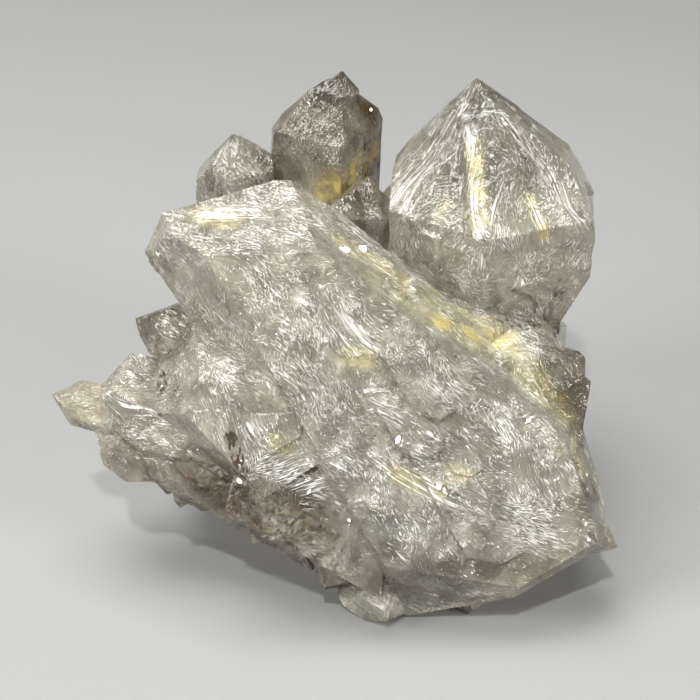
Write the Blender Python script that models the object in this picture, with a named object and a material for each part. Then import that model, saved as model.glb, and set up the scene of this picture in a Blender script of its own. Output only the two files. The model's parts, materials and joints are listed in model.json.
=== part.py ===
"""Elestial quartz crystal: a hand-sized cluster of intergrown quartz points.

Every crystal is a convex solid trimmed from a cube by its facet planes, as a quartz crystal is
bounded by its faces. Crystals, the parallel ledges on their faces and the rough root grow
through each other, so they are fused into one solid. It rests on the flat where it was broken
off its rock.

Frame: +X to the right, +Y to the back, +Z up, with the origin under the middle of the cluster.
Lengths are millimetres until a mesh is made. Places are given from a point on the foot, MIDDLE
away from the origin. Azimuth 0 faces the front (-Y), azimuth 90 faces +X, and elevation is
measured up from level.
"""

import math
import random

import bmesh
import bpy
from mathutils import Vector

MM = 0.001
SEED = 11
SERIES = 5  # between one crystal's seed and the next
MIDDLE = Vector((-3.58, 8.39, 0))  # middle of the cluster's box, from where places are given

BLOCK = 400.0  # side of the cube that each solid is trimmed from
TIP_LEAN = 38.2  # lean of a quartz tip face from the prism face below it
UNEVEN = 0.12  # how far the faces of a small crystal differ in reach

LEDGES = {"main": 20, "upright": 8, "smoky": 4, "left_arm": 9, "shoulder": 6, "toe": 5}
LEDGE_RISE = (0.35, 1.0)  # how far a ledge of parallel growth stands off its face
LEDGE_SIZE = (0.14, 0.34)  # its size over its crystal's
PITS = {"main": 1, "upright": 1}
PIT_DEPTH = (0.7, 1.3)
PIT_SIZE = (0.12, 0.2)  # its size over its crystal's
PIT_SLOPE = math.radians(14)  # how far its walls lean outwards
PIT_MOUTH = 3  # how far its walls go on past the face, over its depth
FLATTEST_WALL = 0.4  # facets that lean less than this across the pitted face make no wall
LOWEST_WALL = -0.3  # nor do those that face away from it more than this

CHIP_RADIUS = (4.0, 8.5)  # broken lumps on the root
CHIP_SUNK = 0.55  # how deep their middles lie in the root, over their radius
CHIP_FACETS = 12
CHIP_JITTER = 0.35  # how far a chip's facets stray from an even spread
CHIP_REACH = (0.75, 1.0)  # how far out they lie, over its radius
CHIPS = 30
CHIPS_FACE = -0.3  # least +Y of the root's faces that carry chips
POINT_GIRTH = (2.2, 4.6)  # small quartz points that stand on the back of the root
POINT_SLIM = 2.4  # their length over their girth
POINT_RISE = (5, 50)  # elevation that they point to
POINT_SPREAD = 30  # how far they turn from the way that their face looks
POINTS = 12
POINTS_FACE = 0.1  # least +Y of the root's faces that carry points

HEART = (10, 5, 30)  # a place deep inside the cluster, where the fused solid starts
HEART_RADIUS = 8

# The large crystals: a centre, then each facet as (azimuth, elevation, reach from the centre).
LARGE = {
    # Lies across the front, from the tip at the upper left down to the lower right.
    "main": (
        (5, -5, 36),
        [
            (3, 24, 17.5), (2, 80, 34.5), (90, 55, 22), (-45, -8, 21), (76, 25, 35),
            (26, -20, 43), (-5, -18, 32), (-68, 20, 45), (-149, 22, 39), (147, 16, 20.5),
            (-112, -43, 13.5), (-117, -6, 41), (121, -1, 32.5), (105, -65, 32), (180, 0, 19),
            (150, -35, 24),
        ],
    ),
    # Stands at the back right: a clear point with broad tip faces on a tapering prism.
    "upright": (
        (29.5, 27, 59),
        [
            (-37, 0, 18.5), (23, 0, 18.5), (83, 0, 20.5), (143, 0, 17.5), (-157, 0, 18.5),
            (-97, -3, 20.3), (90, -32, 19.5), (-60, -40, 30), (168, -28, 20), (-145, -32, 21),
            (-37, 38, 18.5), (23, 39, 18.5), (83, 28, 20.4), (143, 38, 20), (-157, 36, 23),
            (-97, 40, 22.9), (-66, 42, 21), (83, 54, 21.5), (90, 69, 26.2), (-5, 60, 26.2),
        ],
    ),
    # Smoky head at the back left.
    "smoky": (
        (-5.5, 40, 71.5),
        [
            (-35, 4, 9), (60, 0, 10), (120, -4, 11), (175, 0, 10), (-130, 0, 10), (-85, 4, 11),
            (172, -26, 15), (-128, -34, 15), (-80, -30, 20),
            (-35, 50, 9), (60, 42, 11), (150, 40, 11), (-90, 44, 10), (-150, 40, 10),
        ],
    ),
    "clear_left": (
        (-25, 38, 64),
        [
            (-40, 8, 7), (30, 4, 9), (90, 0, 9), (150, 0, 7), (-150, 0, 7), (-90, 2, 7.5),
            (170, -24, 10), (-125, -36, 12), (-80, -28, 14),
            (-40, 46, 7.5), (30, 46, 9.2), (90, 52, 10.5), (150, 40, 7), (-150, 40, 7), (-90, 40, 6.5),
        ],
    ),
    # Low arm that points left, parallel to the main crystal.
    "left_arm": (
        (-29.5, -9, 29),
        [
            (49, 72, 7.5), (-21, 15, 9), (-21, -12, 10.5), (-106, -65, 7), (175, 20, 14),
            (-86, 53, 19), (-133, 7, 19), (-37, -4, 12.5), (-110, -46, 13.5), (-61, 12, 17.5),
            (-105, -13, 19.5), (55, 10, 29), (150, -30, 16),
        ],
    ),
    # Fills the corner between the arm and the main crystal.
    "shoulder": (
        (-19.5, -6.5, 37),
        [
            (2, 24, 15.5), (-70, 35, 16), (-130, 2, 16), (-42, -20, 15), (-109, -47, 10),
            (0, 75, 14), (95, 0, 18), (180, 0, 15), (60, -52, 15),
        ],
    ),
    # Fills the corner below it, between the arm and the foot.
    "toe": (
        (-8, -14, 22),
        [
            (3, 24, 14.0), (0, 75, 12), (-50, -48, 10.5), (-100, 10, 13), (90, 0, 14),
            (180, 0, 14), (110, -50, 16), (-150, -20, 14),
        ],
    ),
    # Broken mass that the crystals grew from.
    "root": (
        (8, 8, 22),
        [
            (-45, -28, 29), (46, -28, 37), (0, -10, 32), (180, -8, 28), (95, -12, 31),
            (-110, -15, 38), (-150, -10, 34), (140, -10, 32), (180, 45, 31), (-120, 40, 33),
            (120, 45, 32), (3, 24, 27), (0, 80, 28), (0, -90, 26),
        ],
    ),
}

# Small quartz crystals of plain habit: centre, where the tip points, turn about that axis, girth
# (reach of the prism faces) and length from the centre to the tip and to the hidden root.
SMALL = {
    "smoky_low": ((2, 26, 60), (40, 76), 10, 6.0, 11, 16),
    "smoky_tip": ((-2, 39.5, 82), (30, 80), 15, 3.6, 6, 8),
    "tooth": ((-31, 0, 47), (-101, 17), 20, 5.0, 11, 10),
    "cream_end": ((-51.5, -5, 35), (-98, 15), 0, 4.0, 6.8, 9),
    "arm_edge": ((-43.2, -11, 27.6), (68, -30), 20, 4.2, 9, 8),
    "side_smoky": ((42, 11, 31), (80, -22), 25, 5.6, 8.0, 14),
    "corner": ((47, -22, 16), (62, -14), 10, 2.8, 5, 8),
    "back_low": ((14, 27, 20), (168, 12), 15, 10.0, 22, 20),
    "back_left": ((-20, 22, 32), (-140, 20), 5, 9.0, 19, 18),
    "back_right": ((34, 26, 27), (128, 4), 20, 8.0, 18, 16),
    "back_mid": ((0, 36, 46), (178, 38), 12, 6.5, 16, 14),
    "back_clear": ((10, 30, 52), (160, 62), 30, 5.0, 16, 12),
    "back_stub": ((-12, 34, 22), (-165, -4), 8, 6.0, 11, 12),
}

# Broken lumps, each as a centre and a radius: under the front edge, along the low left side
# between the arm and the foot, in the neck below the upright crystal and, out of sight, in the
# middle, where they leave no hollow.
LUMPS = [
    ((-5, -21, 17), 6.5), ((-1, -23, 13), 7.0), ((-11, -17.5, 19), 6.0), ((-15, -16, 24), 4.5),
    ((-20, -15, 21), 5.0), ((-26, -13.5, 23), 4.5),
    ((6, -24, 6), 7.0), ((14, -24, 7), 7.0), ((2, -20, 8), 7.0), ((23, -22, 6), 6.5),
    ((-6, -13, 12), 8.0), ((-13, -5, 13), 8.0), ((36, -12, 10), 8.0), ((38, 14, 41), 6.0),
    ((34, 12, 37), 6.5), ((43, 8, 36), 4.5), ((-28, 8, 26), 7.0), ((-8, -9, 24), 10.0),
    ((24, 1, 24), 11.0),
]

# The torn lower edge of the left arm, from its left end to the foot.
TORN_EDGE = ((-37, -13.3, 24.3), (-5, -22.3, 10.3))
TORN_LUMPS = 16
TORN_RADIUS = (1.8, 2.9)


def toward(azimuth, elevation):
    """Unit vector that faces this azimuth and elevation."""
    a, e = math.radians(azimuth), math.radians(elevation)
    return Vector((math.sin(a) * math.cos(e), -math.cos(a) * math.cos(e), math.sin(e)))


def facet_planes(facets):
    """Planes (outward normal, reach) of facets given as (azimuth, elevation, reach)."""
    return [(toward(azimuth, elevation), reach) for azimuth, elevation, reach in facets]


def quartz_planes(points, turn, girth, to_tip, to_root, rng):
    """Planes of a six-sided prism with six tip faces at each end, uneven as grown quartz is."""
    axis = toward(*points)
    front = (Vector((0, 0, 1)) - axis * axis.z).normalized()
    if abs(axis.z) > 0.9:
        front = (Vector((0, -1, 0)) + axis * axis.y).normalized()
    side = axis.cross(front)
    lean = math.radians(TIP_LEAN)
    planes = []
    for step in range(6):
        angle = math.radians(turn + 60 * step)
        radial = front * math.cos(angle) + side * math.sin(angle)
        planes.append((radial, girth * rng.uniform(1 - UNEVEN, 1 + UNEVEN)))
        for end, length in ((axis, to_tip), (-axis, to_root)):
            reach = length * math.sin(lean) * rng.uniform(1, 1 + UNEVEN * (1 + step % 2))
            planes.append((radial * math.cos(lean) + end * math.sin(lean), reach))
    return planes


def chip_planes(radius, rng):
    """Planes of a rough broken lump: facets spread evenly over a ball, each a little off."""
    planes = []
    for step in range(CHIP_FACETS):
        height = 1 - (2 * step + 1) / CHIP_FACETS
        around = step * math.pi * (3 - math.sqrt(5))
        level = math.sqrt(1 - height * height)
        normal = Vector((level * math.cos(around), level * math.sin(around), height))
        jitter = Vector([rng.uniform(-CHIP_JITTER, CHIP_JITTER) for _ in range(3)])
        planes.append(((normal + jitter).normalized(), radius * rng.uniform(*CHIP_REACH)))
    return planes


def trimmed_solid(name, centre, planes, collection):
    """A closed convex solid: a cube about centre cut by planes of (outward normal, reach)."""
    mesh = bmesh.new()
    bmesh.ops.create_cube(mesh, size=BLOCK * MM)
    for normal, reach in planes:
        bmesh.ops.bisect_plane(
            mesh,
            geom=mesh.verts[:] + mesh.edges[:] + mesh.faces[:],
            dist=1e-7,
            plane_co=normal * reach * MM,
            plane_no=normal,
            clear_outer=True,
        )
        rim = [edge for edge in mesh.edges if edge.is_boundary]
        if rim:
            bmesh.ops.edgeloop_fill(mesh, edges=rim)
    bmesh.ops.remove_doubles(mesh, verts=mesh.verts[:], dist=2e-5)
    bmesh.ops.recalc_face_normals(mesh, faces=mesh.faces[:])
    bmesh.ops.translate(mesh, vec=(Vector(centre) - MIDDLE) * MM, verts=mesh.verts[:])
    data = bpy.data.meshes.new(name)
    mesh.to_mesh(data)
    mesh.free()
    solid = bpy.data.objects.new(name, data)
    solid.hide_render = True
    solid.display_type = "WIRE"
    collection.objects.link(solid)
    return solid


def random_spot(solid, rng):
    """A random point on one of the larger faces of solid, and that face's outward normal."""
    faces = list(solid.data.polygons)
    face = rng.choices(faces, weights=[f.area for f in faces])[0]
    corners = [solid.data.vertices[i].co for i in face.vertices]
    weights = [rng.uniform(0.15, 1) ** 2 for _ in corners]
    spot = sum((c * w for c, w in zip(corners, weights)), Vector()) / sum(weights)
    return spot / MM + MIDDLE, face.normal.copy()


def spot_behind(solid, backward, rng):
    """A random spot as above, on a face whose normal has at least this much +Y in it."""
    while True:
        spot, normal = random_spot(solid, rng)
        if normal.y > backward and spot.z > 0:
            return spot, normal


def add_ledges(host, centre, planes, count, collection, rng):
    """Small copies of a crystal, each shrunk towards a spot on a face and raised off it."""
    centre = Vector(centre)
    for number in range(count):
        spot, normal = random_spot(host, rng)
        size = rng.uniform(*LEDGE_SIZE)
        raised = spot + normal * rng.uniform(*LEDGE_RISE) - (spot - centre) * size
        copy = [(facet, reach * size) for facet, reach in planes]
        trimmed_solid(f"{host.name}_ledge_{number}", raised, copy, collection)


def add_pits(host, centre, planes, count, collection, rng):
    """Flat-bottomed hollows in a crystal's faces, with the outline of the face they sink into."""
    centre = Vector(centre)
    for number in range(count):
        spot, normal = random_spot(host, rng)
        size = rng.uniform(*PIT_SIZE)
        depth = rng.uniform(*PIT_DEPTH)
        middle = spot - (spot - centre) * size
        lift = (spot - middle).dot(normal)
        walls = [(normal, lift + PIT_MOUTH * depth), (-normal, depth - lift)]
        for facet, reach in planes:
            across = facet - normal * facet.dot(normal)
            if across.length > FLATTEST_WALL and facet.dot(normal) > LOWEST_WALL:
                wall = across.normalized() * math.cos(PIT_SLOPE) - normal * math.sin(PIT_SLOPE)
                walls.append((wall, reach * size / across.length))
        trimmed_solid(f"{host.name}_pit_{number}", middle, walls, collection)


def add_chips(root, collection, rng):
    """Broken lumps all over the root but not on its front, which the main crystal covers."""
    for number in range(CHIPS):
        spot, normal = spot_behind(root, CHIPS_FACE, rng)
        radius = rng.uniform(*CHIP_RADIUS)
        middle = spot - normal * radius * CHIP_SUNK
        trimmed_solid(f"chip_{number}", middle, chip_planes(radius, rng), collection)


def add_points(root, collection, rng):
    """Small quartz points that stand out of the root's sides and back."""
    for number in range(POINTS):
        spot, normal = spot_behind(root, POINTS_FACE, rng)
        girth = rng.uniform(*POINT_GIRTH)
        length = girth * POINT_SLIM
        outward = math.degrees(math.atan2(normal.x, -normal.y))
        outward += rng.uniform(-POINT_SPREAD, POINT_SPREAD)
        points = (outward, rng.uniform(*POINT_RISE))
        planes = quartz_planes(points, rng.uniform(0, 60), girth, length, length, rng)
        trimmed_solid(f"point_{number}", spot, planes, collection)


def new_collection(name):
    """A collection with this name, linked to the scene."""
    collection = bpy.data.collections.new(name)
    bpy.context.scene.collection.children.link(collection)
    return collection


def quartz_material():
    """Colourless to smoky clear quartz."""
    material = bpy.data.materials.new("quartz")
    material.use_nodes = True
    shader = material.node_tree.nodes["Principled BSDF"]
    shader.inputs["Base Color"].default_value = (0.62, 0.60, 0.54, 1.0)
    shader.inputs["Roughness"].default_value = 0.12
    shader.inputs["Metallic"].default_value = 0.0
    shader.inputs["IOR"].default_value = 1.544
    shader.inputs["Transmission Weight"].default_value = 0.6
    return material


def add_boolean(cluster, name, operation, collection):
    """An exact Boolean of the cluster with every solid in a collection."""
    modifier = cluster.modifiers.new(name, "BOOLEAN")
    modifier.operation = operation
    modifier.solver = "EXACT"
    modifier.operand_type = "COLLECTION"
    modifier.collection = collection


def build():
    """Clears the scene and makes the fused cluster."""
    for old in list(bpy.data.objects):
        bpy.data.objects.remove(old)
    cluster_collection = new_collection("elestial_quartz_crystal")
    growths = new_collection("growths")
    pits = new_collection("pits")
    rock = new_collection("rock")

    for number, (name, (centre, facets)) in enumerate(LARGE.items()):
        rng = random.Random(SEED + SERIES * number)  # its own series, so that a change to one stays there
        planes = facet_planes(facets)
        host = trimmed_solid(name, centre, planes, growths)
        add_ledges(host, centre, planes, LEDGES.get(name, 0), growths, rng)
        add_pits(host, centre, planes, PITS.get(name, 0), pits, rng)
    add_chips(host, growths, rng)
    add_points(host, growths, rng)
    for name, (centre, points, turn, girth, to_tip, to_root) in SMALL.items():
        planes = quartz_planes(points, turn, girth, to_tip, to_root, rng)
        trimmed_solid(name, centre, planes, growths)
    for number, (centre, radius) in enumerate(LUMPS):
        trimmed_solid(f"lump_{number}", centre, chip_planes(radius, rng), growths)

    start, end = (Vector(point) for point in TORN_EDGE)
    for number in range(TORN_LUMPS):
        middle = start.lerp(end, (number + rng.uniform(0.1, 0.9)) / TORN_LUMPS)
        trimmed_solid(f"torn_{number}", middle, chip_planes(rng.uniform(*TORN_RADIUS), rng), growths)

    trimmed_solid("below_ground", (0, 0, -BLOCK / 2), [], rock)

    heart = chip_planes(HEART_RADIUS, rng)
    cluster = trimmed_solid("crystal_cluster", HEART, heart, cluster_collection)
    cluster.hide_render = False
    cluster.display_type = "TEXTURED"
    cluster.data.materials.append(quartz_material())
    add_boolean(cluster, "grown_together", "UNION", growths)
    add_boolean(cluster, "hollows", "DIFFERENCE", pits)
    add_boolean(cluster, "broken_off", "DIFFERENCE", rock)


build()
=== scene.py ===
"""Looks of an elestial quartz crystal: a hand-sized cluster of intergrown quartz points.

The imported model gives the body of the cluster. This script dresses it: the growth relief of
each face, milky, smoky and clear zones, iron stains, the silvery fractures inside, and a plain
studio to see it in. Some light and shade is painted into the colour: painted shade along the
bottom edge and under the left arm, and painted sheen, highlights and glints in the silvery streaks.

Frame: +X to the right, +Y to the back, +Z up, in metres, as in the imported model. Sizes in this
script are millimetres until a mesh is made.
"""

import json
import logging
import math
import random
from dataclasses import dataclass
from enum import Enum

import bmesh
import bpy
import numpy as np
from mathutils import Matrix, Vector, noise
from mathutils.bvhtree import BVHTree

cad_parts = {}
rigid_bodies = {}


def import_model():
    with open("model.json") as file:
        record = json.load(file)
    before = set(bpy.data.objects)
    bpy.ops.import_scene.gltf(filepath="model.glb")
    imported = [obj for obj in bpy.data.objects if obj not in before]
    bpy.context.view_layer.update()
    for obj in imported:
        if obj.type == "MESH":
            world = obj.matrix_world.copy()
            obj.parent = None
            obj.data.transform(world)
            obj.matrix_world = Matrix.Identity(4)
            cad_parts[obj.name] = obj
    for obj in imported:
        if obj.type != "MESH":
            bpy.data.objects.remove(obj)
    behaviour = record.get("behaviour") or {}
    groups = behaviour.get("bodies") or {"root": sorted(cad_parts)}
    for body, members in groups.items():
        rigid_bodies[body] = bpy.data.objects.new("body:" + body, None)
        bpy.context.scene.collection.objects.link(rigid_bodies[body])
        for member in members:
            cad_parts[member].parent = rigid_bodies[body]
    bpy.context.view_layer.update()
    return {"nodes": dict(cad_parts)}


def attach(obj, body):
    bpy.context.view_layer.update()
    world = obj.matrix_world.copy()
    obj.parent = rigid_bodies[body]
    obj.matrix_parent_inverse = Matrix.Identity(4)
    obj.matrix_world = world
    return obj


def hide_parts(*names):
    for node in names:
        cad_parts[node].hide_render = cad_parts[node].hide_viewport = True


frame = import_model()

MM = 0.001
SEED = 20
QUARTZ_IOR = 1.544

Triple = tuple[float, float, float]
Pair = tuple[float, float]
Socket = bpy.types.NodeSocket
Value = Socket | float | tuple

log = logging.getLogger("elestial_quartz")


class Zone(Enum):
    """What a stretch of the cluster is made of, and the painted shade and highlights of some zones,
    as a channel of the mesh's own attributes.
    """

    SMOKY_AND_SHADE = ("habit", 0)
    CLEAR = ("habit", 1)
    ROUGH = ("habit", 2)
    CREAM = ("habit", 3)
    BRUSHED_AND_HIGHLIGHT = ("marks", 0)
    IRON = ("marks", 1)
    SOOT = ("marks", 2)
    SILKY_AND_HIGHLIGHT = ("marks", 3)
    STREAKED = ("growth", 0)
    RAISED = ("relief", 0)


@dataclass(frozen=True)
class Stretch:
    """A soft-edged stretch of the cluster, round the line from start to end."""

    zone: Zone
    start: Triple
    end: Triple
    width: float
    amount: float = 1.0
    core: float = 0.45

    def weight(self, points: np.ndarray) -> np.ndarray:
        """Gives how much of this stretch each point has.

        Args:
            points: the points in millimetres, one a row.

        Returns:
            One value a point, from 0 outside to the stretch's amount inside.
        """
        start, line = np.array(self.start), np.array(self.end) - np.array(self.start)
        along = np.clip((points - start) @ line / max(float(line @ line), 1e-9), 0.0, 1.0)
        away = np.linalg.norm(points - start - along[:, None] * line, axis=1) / self.width
        fall = np.clip((1.0 - away) / (1.0 - self.core), 0.0, 1.0)
        return self.amount * fall * fall * (3.0 - 2.0 * fall)


# Where each zone lies: start, end and width in millimetres, then amount and core.
STRETCHES: dict[Zone, tuple[tuple, ...]] = {
    # Smoky head, the lower point before it, the blocks low on the right, the torn edge. Along the
    # lower left the brown is partly real and partly painted shade; along the bottom edge, where the
    # faces turn under and overhang the floor, it is painted shade.
    Zone.SMOKY_AND_SHADE: (
        ((-2, 31, 66), (-1, 31, 84), 17, 0.72, 0.8),
        ((9, 32, 66), (9, 32, 80), 9, 1.0, 0.7),
        ((4, 17, 60), (6, 17, 70), 8, 0.8),
        ((46, 2, 38), (49, 4, 33), 11, 0.85),
        ((38, 2, 46), (46, 2, 48), 7, 0.2),
        ((20, 2, 52), (34, -3, 50), 3.5, 0.3),
        # Lower left and bottom front: real brown, darkened further as painted shade under the
        # overhang.
        ((-38, -22, 28), (-22, -29, 29), 7, 0.45),
        ((-22, -30, 27), (-5, -38, 22), 9.5, 0.95, 0.5),
        ((-3, -38, 20), (10, -38, 12), 6, 0.5),
        # Right side of the main crystal.
        ((44, -17, 45), (48, -19, 39), 7, 0.6, 0.6),
        # Underside of the left arm and the bottom edge, where the faces turn under: painted shade,
        # over the real brown of the torn edge at the left.
        ((-40, -20, 23), (0, -33, 9), 7, 0.72),
        ((-3, -35, 15), (26, -38, 9), 5, 0.35),
        ((6, -38, 16), (39, -40.4, 14), 7.5, 0.42, 0.2),
        ((39, -40.4, 14), (49, -37.9, 18.5), 3.4, 0.5),
    ),
    # Clear points, and the clear rim on the right of the main crystal.
    Zone.CLEAR: (
        ((-30, -8, 49), (-42, -4, 53), 8, 1.0, 0.6),
        ((30, 16, 72), (33, 16, 88), 19, 0.8),
        ((-22, 27, 62), (-22, 27, 76), 12, 0.6),
        ((-1, 31, 84), (0, 31, 90), 6, 0.8),
        ((46, -20, 42), (50, -35, 20), 6, 0.7),
    ),
    # Broken root, torn edge and the small lump.
    Zone.ROUGH: (
        ((-40, -14, 22), (0, -30, 8), 11, 1.0),
        ((0, 10, 14), (25, 8, 14), 34, 0.9),
        ((-22, -30, 27), (-3, -38, 18), 9, 0.9),
        ((7, -39, 6), (9, -39.5, 7), 6, 0.6),
        ((-48.5, -16, 32), (-49, -17, 31), 3, 1.0),
        ((-48, -14, 34), (-56, -13, 37), 7, 0.35, 0.6),
    ),
    # The end of the left arm.
    Zone.CREAM: (
        ((-48, -14, 35), (-56, -13, 37), 7, 1.0, 0.6),
        ((-48.5, -16, 32), (-49, -17, 31), 3, 1.0),
    ),
    # Bands with more streaks, and calmer windows with fewer.
    Zone.STREAKED: (
        ((-24, -6, 73), (-2, -3, 71), 14, 0.13),
        ((-2, -3, 71), (10, -8, 62), 8, 0.12),
        ((-11, -19, 69), (7, -25, 54), 3.5, 0.12),
        ((27, 18, 82), (14, 12, 66), 4, 0.05),
        ((27, 15, 80), (29, -1, 66), 2.6, 0.08),
        ((-40, -13, 42), (-32, -15, 43), 7, 0.12),
        ((24, 10, 74), (23, 6, 68), 4.5, -0.3),
        ((34, 6, 73), (38, 3, 68), 5.5, -0.25),
        ((21, 4, 59), (45, 4, 57), 9, 0.06),
        ((-3, 28, 66), (-3, 28, 82), 15, -0.05),
        ((9, 31, 66), (9, 31, 80), 8, -0.15),
        ((5, 16, 60), (5, 16, 70), 8, -0.25),
        ((-42, -20, 25), (-20, -31, 27), 8, -0.35),
        ((-20, -31, 27), (4, -38, 16), 10, -0.4),
        ((14, -40, 15), (40, -40.4, 15), 7, -0.08),
        ((46, 2, 38), (49, 4, 33), 11, -0.2),
        ((44, -17, 45), (48, -19, 39), 7, -0.05),
        ((-48, -14, 35), (-56, -13, 37), 7, -0.3),
    ),
    # Bright silky lines along the ribs, painted highlights where the ridges catch the light, and
    # across the main crystal, white streak lines.
    Zone.SILKY_AND_HIGHLIGHT: (
        # Along the ribs of the upright crystal: painted highlights.
        ((25.5, 20, 83.5), (12.5, 13.5, 67), 3.4, 0.8, 0.5),
        ((23, 15.5, 78), (15.5, 10.5, 67), 2.0, 0.7, 0.3),
        ((27.3, 15, 81), (28.9, -1, 66), 2.2, 0.75, 0.3),
        ((34, 15.2, 83.9), (49.7, 5.6, 65), 2.4, 0.85, 0.3),
        ((40.4, 20, 80.4), (52, 14.8, 66.5), 1.8, 0.85, 0.3),
        ((33.7, 8.7, 76.8), (30.6, 0, 68), 1.5, 0.9, 0.3),
        ((38.6, 5.6, 71), (41.9, 2.2, 63.3), 1.6, 0.9, 0.3),
        ((26.5, 17.8, 82.9), (34, 15.3, 84.5), 1.4, 1.0, 0.3),
        ((27.3, 23, 86.5), (25.5, 19, 83), 1.4, 0.9, 0.3),
        ((51.5, 12, 66), (49, 5, 57), 1.6, 0.9, 0.3),
        # Across the main crystal and the left arm: white streak lines.
        ((-24, -6, 72.5), (-6, -4, 72), 3.2, 0.8, 0.3),
        ((-6, -18, 66), (8, -24, 54), 1.8, 0.8, 0.3),
        ((9, -33, 34), (24, -36, 28), 2.6, 0.9, 0.3),
        ((2, -28, 50), (13, -31, 42), 1.6, 0.7, 0.3),
        ((-44, -17, 39.5), (-32, -22.5, 37), 1.8, 0.9, 0.3),
        ((-38, -21, 34), (-24, -27, 31), 1.4, 0.7, 0.3),
    ),
    # Welts and hollows of the upright crystal.
    Zone.RAISED: (
        ((27, 19, 81), (15, 11, 65), 3.5, 0.35),
        ((27, 15, 80), (29, -1, 65), 2.4, 0.5),
        ((33, 11, 80), (50, 6, 61), 3.4, 0.45),
        ((24, 10, 74), (23, 6, 69), 4.5, -0.5),
        ((34, 6, 73), (38, 3, 69), 5.0, -0.55),
    ),
    # Patches of fine brushed lines; the one low on the front of the main crystal is a painted
    # highlight, a bright facet.
    Zone.BRUSHED_AND_HIGHLIGHT: (
        ((36, -37, 26), (38, -38, 22), 6.5, 0.75, 0.2),
        ((-19, -23, 56), (-19, -24, 48), 5, 0.9, 0.2),
        # A bright facet low on the front: painted highlight.
        ((-12, -33, 34), (-4, -35, 30), 5, 0.9, 0.2),
        ((20, -27, 50), (22, -29, 46), 5, 0.6, 0.2),
        ((31, -29, 42), (33, -31, 38), 4, 0.8, 0.2),
        ((30, -1, 66), (35, -1, 65), 3.5, 0.7, 0.2),
    ),
    # Rust stains.
    Zone.IRON: (
        ((3, -8, 67), (13, -6, 60), 4.5, 0.6),
        ((20, -16, 54.5), (34, -12, 48.5), 5, 0.9, 0.1),
        ((10, -14, 60), (30, -12, 50), 9, 0.35),
        ((20, -2, 53), (30, -7, 49), 4, 0.6),
        ((34, -13, 48), (40, -20, 41), 5, 0.45),
        ((43, -22, 39), (47, -28, 31), 4.5, 0.6),
        ((-24, -6, 72.5), (-19, -8, 72.5), 4, 0.4),
        ((3, -25, 53), (6, -25, 52), 3, 0.5),
        ((12, -34, 33), (20, -35.5, 30), 2.5, 0.5),
        ((23, -34, 33), (25, -33, 32), 2.5, 0.5),
        ((-10, -31, 38), (-8, -31, 37), 2.5, 0.5),
        ((28, 13, 79), (28.7, 1, 68), 2.4, 0.8),
        ((39, 5.4, 70.5), (41.5, 2.5, 64), 1.8, 0.7),
        ((22, 7, 69), (21, 6, 68), 2, 0.6),
        ((9.3, 30.5, 71), (5.7, 24.7, 69), 3.6, 1.0, 0.2),
        ((5.7, 24.7, 69), (0.5, 19, 68), 5.4, 1.0, 0.2),
        ((0.5, 19, 67), (-2.5, 20.2, 65.5), 3.6, 1.0, 0.2),
    ),
    # Dark specks and cracks.
    Zone.SOOT: (
        ((-34, -15, 44), (-32, -17, 41), 3.5, 1.0),
        ((-17, -32, 34), (-16, -32, 29), 2.5, 1.0),
        ((-18.5, -31, 39), (-16.3, -33.6, 33), 1.8, 1.3),
        ((-21, -33, 26.3), (-14.5, -36.8, 27), 2.4, 1.3),
        ((34, -7, 51), (40, -3, 47), 3.0, 1.0),
        ((20, -35, 31), (24, -35.5, 28.5), 1.6, 0.9),
        ((20, -38.2, 22), (24, -38.5, 21), 1.8, 0.8),
        ((45, 4, 50), (46, 4, 51), 1.5, 1.0),
        ((5, -36, 30), (24, -36, 25), 3.5, 0.25),
        ((12, -34, 32.6), (30, -38, 22.9), 1.4, 0.45, 0.2),
        ((21.5, -38, 22), (17.5, -40, 18.5), 1.9, 0.6),
    ),
}


@dataclass(frozen=True)
class Crystal:
    """One crystal of the cluster, by which the grain of the faces round it is set.

    Nearness is the distance over the reach, so a large crystal has a longer reach.
    """

    centre: Triple
    growth: Triple
    reach: float

    def nearness(self, place: Vector) -> float:
        """Distance of a place from the crystal's middle, over its reach."""
        return (place - Vector(self.centre)).length / self.reach


MAIN = Crystal((8, -14, 36), (0.748, -0.237, -0.619), 44)
UPRIGHT = Crystal((33, 18, 62), (0.12, 0.1, 1.0), 28)
SMOKY_HEAD = Crystal((-2, 31, 72), (0.2, 0.0, 1.0), 17)
CLEAR_LEFT = Crystal((-22, 29, 66), (-0.2, 0.0, 1.0), 13)
LEFT_ARM = Crystal((-28, -18, 32), (0.88, -0.36, -0.3), 22)
TOOTH = Crystal((-31, -7, 49), (-0.93, 0.18, 0.3), 9)
CREAM_END = Crystal((-48, -14, 35), (-0.95, 0.14, 0.26), 7)
CRYSTALS = (MAIN, UPRIGHT, SMOKY_HEAD, CLEAR_LEFT, LEFT_ARM, TOOTH, CREAM_END)


def nearest_crystal(place: Vector) -> Crystal:
    """Gives the crystal that a place in millimetres belongs to."""
    return min(CRYSTALS, key=lambda crystal: crystal.nearness(place))


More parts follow.
